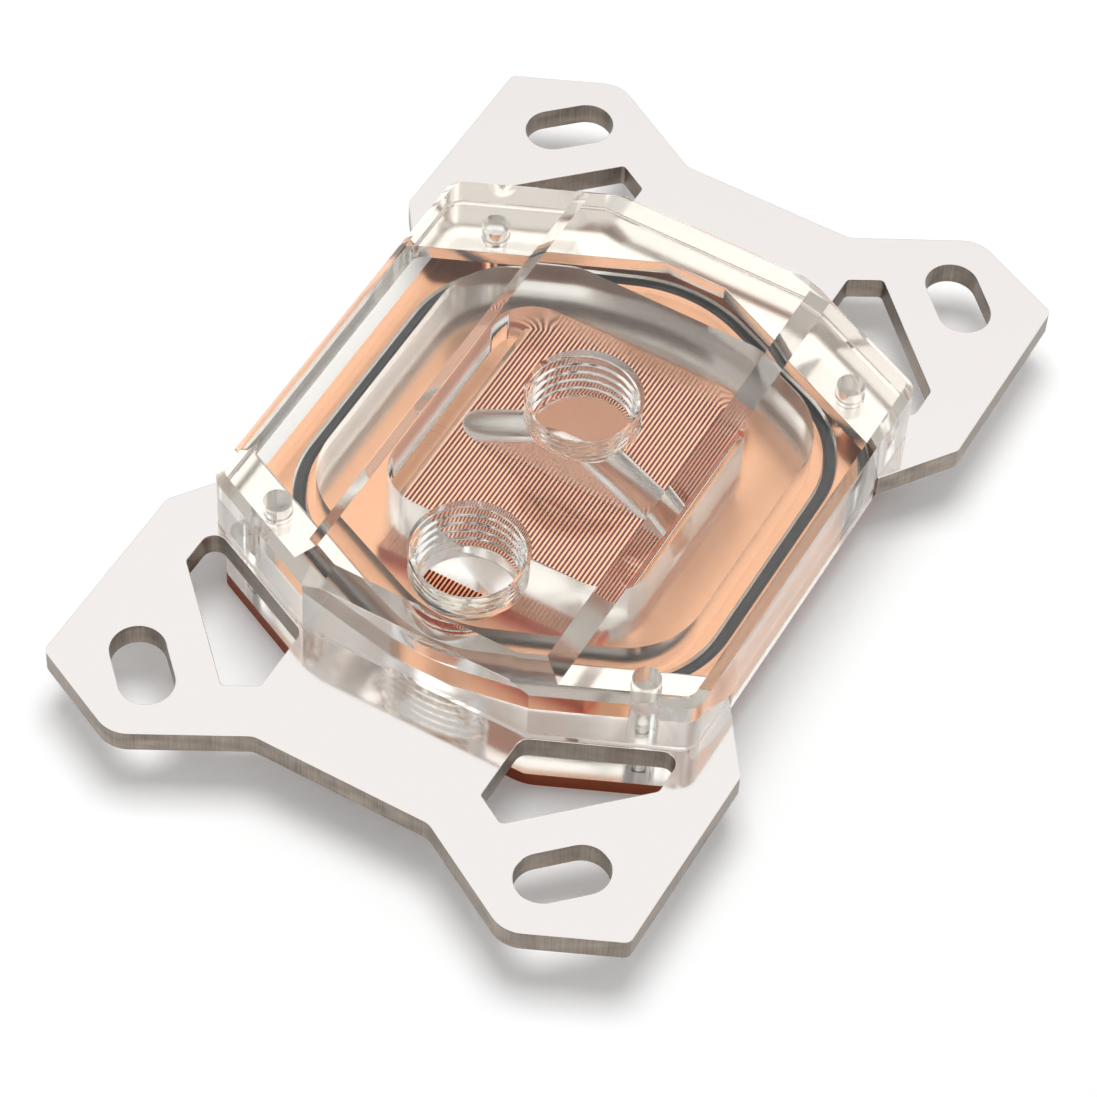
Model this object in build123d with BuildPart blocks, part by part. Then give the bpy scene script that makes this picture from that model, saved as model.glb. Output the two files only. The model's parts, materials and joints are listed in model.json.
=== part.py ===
import os
from math import cos, radians, tan

from build123d import *

# Clear water block for a processor, in millimetres.
# The origin is the centre of the cold plate's underside. Z points up, and Y runs
# along the long way of the bracket, from the outlet (front) to the inlet (back).

# Levels of the stack, from the underside up
plate_thickness = 2.0
base_layer_thickness = 4.0
wing_thickness = 3.0
wing_headroom = 0.05
shoulder_height = 8.25
spine_height = 2.15

# Outline of the block: a rectangle whose two ends are chamfered. Below, a reach or a
# setback is measured along Y from the flat end of the block, outwards or inwards.
block_half_width = 30.0
block_half_length = 33.25
end_flat_half_width = 13.9
end_chamfer_angle = 24.8
block_corner_radius = 2.5
shoulder_bevel = 1.0
foot_bevel = 0.3

# Raised spine along the top, with sloping flanks
spine_half_width = 16.15
spine_end_inset = 0.05
spine_flank_angle = 44.0

# Lower clear layer and copper plate, set in from the block's long sides
foot_half_width = 28.3
foot_corner_radius = 1.5
plate_end_radius = 6.0

# Bracket wings, which slide into the slots at the two ends
wing_depth_in_slot = 7.35
wing_depth_at_middle = 3.4
slot_side_clearance = 0.1
slot_mouth_radius = 1.5
bar_edge_reach = 15.0
arm_root_x = 10.76
arm_shoulder_x = 24.0
arm_shoulder_reach = 22.6
arm_outer_x = 35.9
arm_outer_far_reach = 17.02
arm_outer_near_setback = 7.2
arm_root_radius = 2.0
arm_shoulder_radius = 4.0
arm_corner_radius = 1.0

# Slots for the mounting screws, slanting towards the corners of the bracket
mount_slot_x = 25.83
mount_slot_reach = 13.25
mount_slot_turn = 45.0
mount_slot_travel = 4.34
mount_slot_width = 6.18

# Windows in the wings
window_gap = 0.45
window_inner_x = 13.6
window_outer_x = 29.4
window_far_reach = 9.05
window_peak_x = 17.2
window_peak_reach = 11.15
window_shoulder_setback = 1.05
window_near_radius = 1.5
window_far_radius = 0.6

# Screws that pull the plate and the clear block onto the wings
screw_x = 22.93
screw_setback = 9.56
screw_radius = 1.5
screw_length = 10.0
screw_head_radius = 2.75
screw_head_angle = 90
screw_head_recess = 0.3
screw_point_bevel = 0.3
screw_socket_width = 2.0
screw_socket_depth = 1.2
thread_clearance = 0.03
screw_clearance = 0.2
head_clearance = 0.15
relief_radius = 1.6
relief_height = 1.8

# Threaded ports
port_radius = 5.72
port_mouth_radius = 6.65
port_mouth_angle = 90
port_thread_depth = 7.05
inlet_y = 3.1
outlet_setback = 11.35

# Seal and its groove in the underside of the clear block; each end comes to a blunt peak
seal_half_width = 25.65
seal_side_setback = 13.45
seal_peak_setback = 2.45
seal_corner_radius = 13.0
seal_peak_radius = 17.0
seal_width = 1.4
seal_edge_bevel = 0.3
groove_width = 1.65
groove_depth = 1.75

# Coolant chamber around the fins: peaked below the outlet, flat at the inlet's end
chamber_half_width = 23.3
chamber_outlet_side_setback = 14.55
chamber_outlet_peak_setback = 4.4
chamber_inlet_side_setback = 15.15
chamber_inlet_setback = 10.05
chamber_inlet_flat = 11.7
chamber_corner_radius = 9.5
chamber_peak_radius = 13.0
chamber_inlet_radius = 5.0
chamber_height = 8.7

# Island of clear material that stands in the chamber and covers the middle of the fins
island_half_width = 16.0
island_half_length = 16.0
island_corner_radius = 5.5
island_gap = 0.05
fin_pocket_margin = 0.5

# Microfins, standing in a field on the cold plate
fin_count = 54
fin_pitch = 0.5
fin_thickness = 0.25
fin_field_half_length = 18.5
fin_top_above_plate = 1.9
fin_valley_below_plate = 1.0

# Fan-shaped distributor from the inlet down onto the fins
fan_y = 0.2
fan_thickness = 5.0
fan_top_half_width = 5.2
fan_bottom_half_width = 13.2
fan_edge_radius = 2.4

# Values worked out from the sizes above
plate_top = plate_thickness
slot_floor = plate_top + base_layer_thickness
slot_ceiling = slot_floor + wing_thickness + wing_headroom
shoulder_top = slot_ceiling + shoulder_height
spine_top = shoulder_top + spine_height
chamber_ceiling = plate_top + chamber_height
fin_top = plate_top + fin_top_above_plate
fin_floor = plate_top - fin_valley_below_plate
fin_pocket_ceiling = fin_top + island_gap
fin_field_half_width = ((fin_count - 1) * fin_pitch + fin_thickness) / 2
inlet_floor = spine_top - port_thread_depth
bar_edge_y = block_half_length + bar_edge_reach
arm_shoulder_y = block_half_length + arm_shoulder_reach
arm_outer_far_y = block_half_length + arm_outer_far_reach
arm_outer_near_y = block_half_length - arm_outer_near_setback
mount_slot_y = block_half_length + mount_slot_reach
window_far_y = block_half_length + window_far_reach
window_peak_y = block_half_length + window_peak_reach
window_shoulder_y = block_half_length - window_shoulder_setback
screw_y = block_half_length - screw_setback
seal_peak_y = block_half_length - seal_peak_setback
seal_side_y = block_half_length - seal_side_setback
chamber_outlet_side_y = chamber_outlet_side_setback - block_half_length
chamber_outlet_peak_y = chamber_outlet_peak_setback - block_half_length
chamber_inlet_side_y = block_half_length - chamber_inlet_side_setback
chamber_inlet_y = block_half_length - chamber_inlet_setback
outlet_y = outlet_setback - block_half_length
corners = [(sx * screw_x, sy * screw_y) for sx in (-1, 1) for sy in (-1, 1)]
matching_distance = 0.01


def slanted_y(x, inset):
    """Height along Y of the end chamfer, moved inwards by inset, at the place x."""
    turn = radians(end_chamfer_angle)
    return block_half_length - inset / cos(turn) - (x - end_flat_half_width) * tan(turn)


def mirrored_outline(quarter):
    """A closed outline from the points of its first quarter, mirrored in both axes."""
    back = quarter + [(-x, y) for x, y in reversed(quarter)]
    return back + [(x, -y) for x, y in reversed(back)]


def end_outline(half_width, slant_inset=0.0, flat_inset=0.0):
    """Corner points of the block's outline at a chosen width and inset of its ends."""
    flat_y = block_half_length - flat_inset
    rise = slanted_y(end_flat_half_width, slant_inset) - flat_y
    flat_x = end_flat_half_width + rise / tan(radians(end_chamfer_angle))
    side_y = slanted_y(half_width, slant_inset)
    return mirrored_outline([(half_width, side_y), (flat_x, flat_y)])


def near(vertices, x, y):
    """The vertices whose distance from both axes matches the given pair."""
    apart = matching_distance
    return vertices.filter_by(lambda v: abs(abs(v.X) - abs(x)) < apart and abs(v.Y - y) < apart)


def side_corners(vertices, half_width):
    """The vertices that lie on the long sides of an outline."""
    return vertices.filter_by(lambda v: abs(abs(v.X) - half_width) < matching_distance)


# Lines that several pieces share
with BuildSketch() as block_plan:
    Polygon(*end_outline(block_half_width), align=None)
    fillet(side_corners(block_plan.vertices(), block_half_width), block_corner_radius)

with BuildSketch() as foot_plan:
    Polygon(*end_outline(foot_half_width), align=None)
    fillet(side_corners(foot_plan.vertices(), foot_half_width), foot_corner_radius)

with BuildSketch() as core_plan:
    slant_inset = wing_depth_in_slot + slot_side_clearance
    flat_inset = wing_depth_at_middle + slot_side_clearance
    Polygon(*end_outline(block_half_width, slant_inset, flat_inset), align=None)
    fillet(side_corners(core_plan.vertices(), block_half_width), slot_mouth_radius)

with BuildSketch() as seal_line:
    Polygon(
        (seal_half_width, -seal_side_y),
        (seal_half_width, seal_side_y),
        (0, seal_peak_y),
        (-seal_half_width, seal_side_y),
        (-seal_half_width, -seal_side_y),
        (0, -seal_peak_y),
        align=None,
    )
    fillet(side_corners(seal_line.vertices(), seal_half_width), seal_corner_radius)
    fillet(near(seal_line.vertices(), 0, seal_peak_y), seal_peak_radius)
    fillet(near(seal_line.vertices(), 0, -seal_peak_y), seal_peak_radius)

with BuildSketch() as chamber_plan:
    Polygon(
        (chamber_half_width, chamber_outlet_side_y),
        (chamber_half_width, chamber_inlet_side_y),
        (chamber_inlet_flat, chamber_inlet_y),
        (-chamber_inlet_flat, chamber_inlet_y),
        (-chamber_half_width, chamber_inlet_side_y),
        (-chamber_half_width, chamber_outlet_side_y),
        (0, chamber_outlet_peak_y),
        align=None,
    )
    fillet(side_corners(chamber_plan.vertices(), chamber_half_width), chamber_corner_radius)
    fillet(near(chamber_plan.vertices(), chamber_inlet_flat, chamber_inlet_y), chamber_inlet_radius)
    fillet(near(chamber_plan.vertices(), 0, chamber_outlet_peak_y), chamber_peak_radius)

with BuildSketch() as island_plan:
    RectangleRounded(2 * island_half_width, 2 * island_half_length, island_corner_radius)


def band_along_seal(width):
    """A closed band of the given width that follows the seal's line."""
    with BuildSketch() as inside:
        add(seal_line.sketch)
        offset(amount=-width / 2)
    with BuildSketch() as band:
        add(seal_line.sketch)
        offset(amount=width / 2)
        add(inside.sketch, mode=Mode.SUBTRACT)
    return band.sketch


# Distributor: a flat fan with rounded slanting sides, from the inlet down to the fins
with BuildPart() as fan:
    with BuildSketch(Plane.XZ.offset(-fan_y - fan_thickness / 2)):
        with BuildLine():
            Polyline(
                (-fan_bottom_half_width, fin_pocket_ceiling),
                (fan_bottom_half_width, fin_pocket_ceiling),
                (fan_top_half_width, inlet_floor),
                (-fan_top_half_width, inlet_floor),
                close=True,
            )
        make_face()
    extrude(amount=fan_thickness)
    slanting_edges = fan.edges().filter_by(Axis.X, reverse=True).filter_by(Axis.Y, reverse=True)
    fillet(slanting_edges, fan_edge_radius)

# Clear block: lower layer, core between the wings, shoulder and spine
with BuildPart() as clear_top:
    with BuildSketch(Plane.XY.offset(slot_ceiling)):
        add(block_plan.sketch)
    extrude(amount=shoulder_height)
    brow = clear_top.edges().group_by(Axis.Z)[-1]
    chamfer(brow.filter_by(lambda e: abs(e.center().Y) < block_half_length - shoulder_bevel), shoulder_bevel)
    chamfer(clear_top.edges().group_by(Axis.Z)[0], foot_bevel)
    with BuildSketch(Plane.XY.offset(slot_floor)):
        add(core_plan.sketch)
    extrude(amount=slot_ceiling - slot_floor + foot_bevel)
    with BuildSketch(Plane.XY.offset(plate_top)):
        add(foot_plan.sketch)
    extrude(amount=base_layer_thickness)
    with BuildSketch(Plane.XY.offset(shoulder_top)):
        Polygon(*end_outline(spine_half_width, shoulder_bevel, spine_end_inset), align=None)
    extrude(amount=spine_height, taper=spine_flank_angle)

    with BuildSketch(Plane.XY.offset(plate_top)):
        add(band_along_seal(groove_width))
    extrude(amount=groove_depth, mode=Mode.SUBTRACT)
    with BuildSketch(Plane.XY.offset(plate_top)):
        add(chamber_plan.sketch)
        add(island_plan.sketch, mode=Mode.SUBTRACT)
    extrude(amount=chamber_height, mode=Mode.SUBTRACT)
    with BuildSketch(Plane.XY.offset(plate_top)):
        Rectangle(2 * (fin_field_half_width + fin_pocket_margin), 2 * island_half_length)
    extrude(amount=fin_pocket_ceiling - plate_top, mode=Mode.SUBTRACT)
    add(fan.part, mode=Mode.SUBTRACT)

    with Locations((0, inlet_y, spine_top)):
        CounterSinkHole(port_radius, port_mouth_radius, port_thread_depth, port_mouth_angle)
    with Locations((0, outlet_y, spine_top)):
        CounterSinkHole(port_radius, port_mouth_radius, spine_top - chamber_ceiling, port_mouth_angle)
    with Locations(*[(x, y, slot_floor) for x, y in corners]):
        Hole(screw_radius + screw_clearance, depth=base_layer_thickness)
    with Locations(*[(x, y, slot_ceiling + relief_height) for x, y in corners]):
        Hole(relief_radius, depth=relief_height)

# Cold plate with its field of microfins and the countersunk holes from below
with BuildPart() as cold_plate:
    with BuildSketch() as plate_plan:
        add(foot_plan.sketch)
        end_corners = plate_plan.vertices().filter_by(lambda v: abs(v.Y) > block_half_length - foot_bevel)
        fillet(end_corners, plate_end_radius)
    extrude(amount=plate_thickness)
    with BuildSketch(Plane.XY.offset(plate_top)):
        Rectangle(2 * fin_field_half_width, 2 * fin_field_half_length)
    extrude(amount=fin_top_above_plate)
    with BuildSketch(Plane.XY.offset(fin_floor)):
        with GridLocations(fin_pitch, fin_pitch, fin_count - 1, 1):
            Rectangle(fin_pitch - fin_thickness, 2 * fin_field_half_length)
    extrude(amount=fin_top - fin_floor, mode=Mode.SUBTRACT)
    with Locations(*[Location((x, y, 0), (180, 0, 0)) for x, y in corners]):
        CounterSinkHole(
            screw_radius + screw_clearance,
            screw_head_radius + screw_head_recess + head_clearance,
            plate_thickness,
            screw_head_angle,
        )

# Seal ring, seated between the cold plate and its groove
with BuildPart() as main_seal:
    with BuildSketch(Plane.XY.offset(plate_top)):
        add(band_along_seal(seal_width))
    extrude(amount=groove_depth)
    rims = main_seal.edges().filter_by(Axis.Z, reverse=True)
    chamfer(rims, seal_edge_bevel)

# Bracket wing at the back, with two arms, their slots and windows, and two tapped holes
with BuildPart() as bracket_wing_back:
    with BuildSketch(Plane.XY.offset(slot_floor)) as wing_plan:
        inner_edge = end_outline(block_half_width, wing_depth_in_slot, wing_depth_at_middle)[:2]
        half_plan = inner_edge[::-1] + [
            (arm_outer_x, arm_outer_near_y),
            (arm_outer_x, arm_outer_far_y),
            (arm_shoulder_x, arm_shoulder_y),
            (arm_root_x, bar_edge_y),
        ]
        Polygon(*half_plan, *[(-x, y) for x, y in reversed(half_plan)], align=None)
        fillet(near(wing_plan.vertices(), arm_root_x, bar_edge_y), arm_root_radius)
        fillet(near(wing_plan.vertices(), arm_shoulder_x, arm_shoulder_y), arm_shoulder_radius)
        fillet(near(wing_plan.vertices(), arm_outer_x, arm_outer_near_y), arm_corner_radius)
        fillet(near(wing_plan.vertices(), arm_outer_x, arm_outer_far_y), arm_corner_radius)
        with BuildSketch(mode=Mode.PRIVATE) as window:
            near_inner_y = slanted_y(window_inner_x, -window_gap)
            near_outer_y = slanted_y(window_outer_x, -window_gap)
            Polygon(
                (window_inner_x, near_inner_y),
                (window_outer_x, near_outer_y),
                (window_outer_x, window_shoulder_y),
                (window_peak_x, window_peak_y),
                (window_inner_x, window_far_y),
                align=None,
            )
            fillet(near(window.vertices(), window_inner_x, window_far_y), window_far_radius)
            fillet(near(window.vertices(), window_peak_x, window_peak_y), window_far_radius)
            fillet(near(window.vertices(), window_outer_x, window_shoulder_y), window_far_radius)
            fillet(near(window.vertices(), window_inner_x, near_inner_y), window_near_radius)
            fillet(near(window.vertices(), window_outer_x, near_outer_y), window_near_radius)
        add(window.sketch, mode=Mode.SUBTRACT)
        add(mirror(window.sketch, about=Plane.YZ), mode=Mode.SUBTRACT)
        with Locations(*[Location((s * mount_slot_x, mount_slot_y), -s * mount_slot_turn) for s in (-1, 1)]):
            SlotCenterToCenter(mount_slot_travel, mount_slot_width, mode=Mode.SUBTRACT)
        with Locations((screw_x, screw_y), (-screw_x, screw_y)):
            Circle(screw_radius + thread_clearance, mode=Mode.SUBTRACT)
    extrude(amount=wing_thickness)

with BuildPart() as bracket_wing_front:
    mirror(bracket_wing_back.part, about=Plane.XZ)

# Countersunk screws, driven from below into the wings
with BuildPart() as screw:
    with BuildSketch(Plane.XZ):
        with BuildLine():
            head_depth = screw_head_radius - screw_radius
            tip = screw_head_recess + screw_length
            Polyline(
                (0, screw_head_recess),
                (screw_head_radius, screw_head_recess),
                (screw_radius, screw_head_recess + head_depth),
                (screw_radius, tip - screw_point_bevel),
                (screw_radius - screw_point_bevel, tip),
                (0, tip),
                close=True,
            )
        make_face()
    revolve(axis=Axis.Z)
    with BuildSketch(Plane.XY.offset(screw_head_recess)):
        RegularPolygon(screw_socket_width / 2, 6, major_radius=False)
    extrude(amount=screw_socket_depth, mode=Mode.SUBTRACT)

with BuildPart() as screws:
    with Locations(*corners):
        add(screw.part)

clear_top.part.label = "clear_top"
cold_plate.part.label = "cold_plate"
main_seal.part.label = "main_seal"
bracket_wing_back.part.label = "bracket_wing_back"
bracket_wing_front.part.label = "bracket_wing_front"
screws.part.label = "screws"

os.makedirs("parts", exist_ok=True)
export_step(clear_top.part, "parts/clear_top.step")
export_step(cold_plate.part, "parts/cold_plate.step")
export_step(main_seal.part, "parts/main_seal.step")
export_step(bracket_wing_back.part, "parts/bracket_wing_back.step")
export_step(bracket_wing_front.part, "parts/bracket_wing_front.step")
export_step(screws.part, "parts/screws.step")
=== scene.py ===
import json
from math import cos, radians, tan

import bmesh
import bpy
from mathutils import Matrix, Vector


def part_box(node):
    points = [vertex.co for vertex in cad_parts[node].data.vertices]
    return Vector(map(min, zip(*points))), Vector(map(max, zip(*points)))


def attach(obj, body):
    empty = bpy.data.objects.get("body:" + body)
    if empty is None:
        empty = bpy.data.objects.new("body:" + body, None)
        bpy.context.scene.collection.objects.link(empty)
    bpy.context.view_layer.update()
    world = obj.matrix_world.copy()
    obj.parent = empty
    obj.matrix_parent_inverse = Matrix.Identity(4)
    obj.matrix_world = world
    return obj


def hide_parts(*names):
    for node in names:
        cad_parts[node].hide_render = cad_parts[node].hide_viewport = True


bl_info = {
    "name": "Clear Water Block",
    "version": (1, 0, 0),
    "blender": (4, 5, 0),
    "location": "3D View > Sidebar > Water Block",
    "description": "Finishes a clear processor water block around its fixed frame",
    "category": "Object",
}

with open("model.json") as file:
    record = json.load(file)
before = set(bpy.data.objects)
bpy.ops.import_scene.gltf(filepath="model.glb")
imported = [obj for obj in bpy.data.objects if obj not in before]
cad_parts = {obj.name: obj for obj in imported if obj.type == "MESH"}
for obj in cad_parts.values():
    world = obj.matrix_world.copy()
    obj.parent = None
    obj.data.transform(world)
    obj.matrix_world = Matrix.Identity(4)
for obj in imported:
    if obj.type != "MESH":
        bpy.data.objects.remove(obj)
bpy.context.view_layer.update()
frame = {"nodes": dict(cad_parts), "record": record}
mounts = {mount["name"]: mount for mount in frame["record"]["mounts"]}

MM = 0.001
BODY = "root"
PLATE_LOW, PLATE_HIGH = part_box("cold_plate")
TOP_LOW, TOP_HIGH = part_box("clear_top")
WING_LOW, WING_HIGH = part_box("bracket_wing_back")
SEAL_LOW, SEAL_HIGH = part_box("main_seal")
SCREWS_LOW, SCREWS_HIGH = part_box("screws")
# The plate's flat face, which carries the seal; the fins rise from it to PLATE_HIGH
PLATE_TOP = SEAL_LOW.z
PORT_RADIUS = mounts["inlet_port"]["dims"]["r_mm"] * MM
PORTS = ("inlet_port", "outlet_port")

# Finishes of the clear block, in the order of its material slots
POLISHED, MILLED, TURNED, ROUGH = range(4)

# Distances and angles that tell faces, points and edges apart
FIT = 0.002 * MM
NEAR = 10 * FIT
MERGING = 0.001 * MM
INSIDE = 0.05 * MM
OVER_FINS = PLATE_HIGH.z + 0.06 * MM
ONE_PLANE = radians(0.3)
CREASE = radians(15)
CORNER = radians(60)
FLAT_SIDED = radians(20)
ROUNDED = radians(35)
UPRIGHT = 0.3

# How far the threaded hollows reach past the ports' bores, so that no sliver is left
HOLLOW_WIDER = 0.03 * MM
HOLLOW_DEEPER = 0.01 * MM
HOLLOW_HIGHER = 0.2 * MM
MOUTH_WIDER = 0.02 * MM

# The most room that a screw has in its hole, and the seal's room above and below
HOLE_WIDER = 0.25 * MM
HOLE_HIGHER = 1.0 * MM
SEAL_ROOM = 0.01 * MM

# Fineness of the meshes
PORT_SIDES, PORT_ROWS = 96, 110
SCREW_SIDES, SCREW_ROWS = 32, 160
SEAL_SIDES, SEAL_CORNER_STEPS = 24, 20
BEVEL_STEPS = 2

# Whole turns that are added before a fraction is taken, so that no number is below nothing
WHOLE_TURNS = 100.0
# A thread's crests and roots are cut flat: its ridge is steeper than a triangle and starts lower
THREAD_STEEPNESS, THREAD_START = 1.3, 0.15
# The seal's section is taller than its groove before it is pressed flat
SEAL_PRESS = 1.15
ACRYLIC_IOR = 1.49
BLACK, WHITE = (0.0, 0.0, 0.0), (1.0, 1.0, 1.0)


# Sizes and colours that a user would change


class BlockSizes(bpy.types.PropertyGroup):
    """Fine sizes of the clear block, its threads and its edges."""

    edge_bevel: bpy.props.FloatProperty(
        name="Edge bevel",
        description="Width of the polished bevel on the outer edges of the clear block",
        default=0.14 * MM,
        unit="LENGTH",
    )
    contact_gap: bpy.props.FloatProperty(
        name="Contact gap",
        description="Film of air where the clear block rests on the plate, the seal and the wings",
        default=0.012 * MM,
        unit="LENGTH",
    )
    thread_pitch: bpy.props.FloatProperty(
        name="Port thread pitch",
        description="Height of one turn of the port threads",
        default=1.337 * MM,
        unit="LENGTH",
    )
    thread_depth: bpy.props.FloatProperty(
        name="Port thread depth",
        description="Depth of the port threads, from crest to root",
        default=0.8 * MM,
        unit="LENGTH",
    )
    fin_field_width: bpy.props.FloatProperty(
        name="Fin field width",
        description="Width of the field of fins",
        default=26.9 * MM,
        unit="LENGTH",
    )
    fin_field_length: bpy.props.FloatProperty(
        name="Fin field length",
        description="Length of the field of fins",
        default=37.2 * MM,
        unit="LENGTH",
    )
    fin_pitch: bpy.props.FloatProperty(
        name="Fin pitch",
        description="Distance from one fin to the next",
        default=0.5 * MM,
        unit="LENGTH",
    )
    # Painted highlight: width of the painted bright line along the top of each fin
    fin_crest: bpy.props.FloatProperty(
        name="Fin crest",
        description="Width of the bright line along the top of each fin",
        default=0.12 * MM,
        unit="LENGTH",
    )
    # Painted shade: the depth between the fins at which the painted shade is darkest
    fin_shade_depth: bpy.props.FloatProperty(
        name="Fin shade depth",
        description="Depth between the fins at which the copper has its deepest colour",
        default=0.15 * MM,
        unit="LENGTH",
    )
    thread_runout: bpy.props.FloatProperty(
        name="Port thread runout",
        description="Height over which a port thread fades out at its end",
        default=0.35 * MM,
        unit="LENGTH",
    )
    mouth_radius: bpy.props.FloatProperty(
        name="Port mouth radius",
        description="Radius of the countersink where a port meets the top",
        default=6.65 * MM,
        unit="LENGTH",
    )
    port_floor: bpy.props.FloatProperty(
        name="Port thread end",
        description="Depth of the threads below the top",
        default=7.05 * MM,
        unit="LENGTH",
    )
    fan_middle: bpy.props.FloatProperty(
        name="Distributor place",
        description="Where the middle of the distributor stands along the block",
        default=0.2 * MM,
        unit="LENGTH",
    )
    fan_thickness: bpy.props.FloatProperty(
        name="Distributor thickness",
        description="Thickness of the flat fan that spreads the coolant over the fins",
        default=5.0 * MM,
        unit="LENGTH",
    )
    spine_height: bpy.props.FloatProperty(
        name="Spine height",
        description="Height of the raised middle above the shoulders",
        default=2.15 * MM,
        unit="LENGTH",
    )
    shoulder_bevel: bpy.props.FloatProperty(
        name="Shoulder bevel",
        description="Width of the bevel around the shoulders",
        default=1.0 * MM,
        unit="LENGTH",
    )
    end_flat: bpy.props.FloatProperty(
        name="End flat",
        description="Half the width of the straight middle of the block's ends",
        default=13.9 * MM,
        unit="LENGTH",
    )
    end_slant: bpy.props.FloatProperty(
        name="End slant",
        description="Angle of the chamfers beside the straight middle of the ends",
        default=radians(24.8),
        unit="ROTATION",
    )
    wing_depth: bpy.props.FloatProperty(
        name="Wing depth",
        description="How far the wings reach in under the slanting ends",
        default=7.45 * MM,
        unit="LENGTH",
    )
    wing_depth_at_middle: bpy.props.FloatProperty(
        name="Wing depth at the middle",
        description="How far the wings reach in under the straight middle of the ends",
        default=3.5 * MM,
        unit="LENGTH",
    )


class HardwareSizes(bpy.types.PropertyGroup):
    """Fine sizes of the bracket wings, the seal and the screws."""

    wing_bevel: bpy.props.FloatProperty(
        name="Wing edge bevel",
        description="Width of the broken edge around the bracket wings",
        default=0.1 * MM,
        unit="LENGTH",
    )
    seal_corner: bpy.props.FloatProperty(
        name="Seal corner radius",
        description="Radius of the seal line at its four side corners",
        default=13.0 * MM,
        unit="LENGTH",
    )
    seal_peak: bpy.props.FloatProperty(
        name="Seal peak radius",
        description="Radius of the seal line at the blunt peak of each end",
        default=17.0 * MM,
        unit="LENGTH",
    )
    seal_slant: bpy.props.FloatProperty(
        name="Seal slant",
        description="Angle between the slanting ends of the seal line and the X axis",
        default=radians(23.21),
        unit="ROTATION",
    )
    seal_width: bpy.props.FloatProperty(
        name="Seal width",
        description="Width of the pressed seal",
        default=1.4 * MM,
        unit="LENGTH",
    )
    screw_pitch: bpy.props.FloatProperty(
        name="Screw pitch",
        description="Height of one turn of the screw threads",
        default=0.5 * MM,
        unit="LENGTH",
    )
    screw_radius: bpy.props.FloatProperty(
        name="Screw radius",
        description="Outer radius of the screw threads",
        default=1.5 * MM,
        unit="LENGTH",
    )
    screw_thread_depth: bpy.props.FloatProperty(
        name="Screw thread depth",
        description="Depth of the screw threads, from crest to root",
        default=0.27 * MM,
        unit="LENGTH",
    )
    head_radius: bpy.props.FloatProperty(
        name="Screw head radius",
        description="Radius of the countersunk screw heads",
        default=2.75 * MM,
        unit="LENGTH",
    )


class Finishes(bpy.types.PropertyGroup):
    """Colours of the materials."""

    acrylic: bpy.props.FloatVectorProperty(
        name="Acrylic",
        description="Tint of the clear acrylic",
        default=(0.925, 0.912, 0.875),
        subtype="COLOR",
        size=3,
    )
    copper: bpy.props.FloatVectorProperty(
        name="Copper",
        description="Colour of the bare copper",
        default=(0.98, 0.54, 0.335),
        subtype="COLOR",
        size=3,
    )
    steel: bpy.props.FloatVectorProperty(
        name="Steel",
        description="Colour of the polished faces of the bracket",
        default=(0.90, 0.86, 0.835),
        subtype="COLOR",
        size=3,
    )
    cut_edge: bpy.props.FloatVectorProperty(
        name="Cut edge",
        description="Colour of the laser-cut edges of the bracket",
        default=(0.175, 0.148, 0.125),
        subtype="COLOR",
        size=3,
    )
    # Painted shade: the deep red between the fins stands in for the shade down between them
    shaded_fin_copper: bpy.props.FloatVectorProperty(
        name="Copper between the fins",
        description="Colour of the copper walls deep between the fins",
        default=(0.97, 0.20, 0.055),
        subtype="COLOR",
        size=3,
    )
    # Painted highlight: the bright line on each fin's top stands in for the lamp's reflection
    # there
    highlight_copper: bpy.props.FloatVectorProperty(
        name="Fin crests",
        description="Colour of the bright line along the top of each fin",
        default=(1.0, 0.64, 0.44),
        subtype="COLOR",
        size=3,
    )
    # Painted shade: the dark colour of the plate's cut sides stands in for the shadowed floor that
    # they mirror
    shaded_side_copper: bpy.props.FloatVectorProperty(
        name="Dull copper",
        description="Colour of the cut edges of the cold plate",
        default=(0.31, 0.08, 0.035),
        subtype="COLOR",
        size=3,
    )
    rubber: bpy.props.FloatVectorProperty(
        name="Rubber",
        description="Colour of the seal",
        default=(0.02, 0.02, 0.022),
        subtype="COLOR",
        size=3,
    )
    screw: bpy.props.FloatVectorProperty(
        name="Screw",
        description="Colour of the screws",
        default=(0.78, 0.77, 0.75),
        subtype="COLOR",
        size=3,
    )


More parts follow.
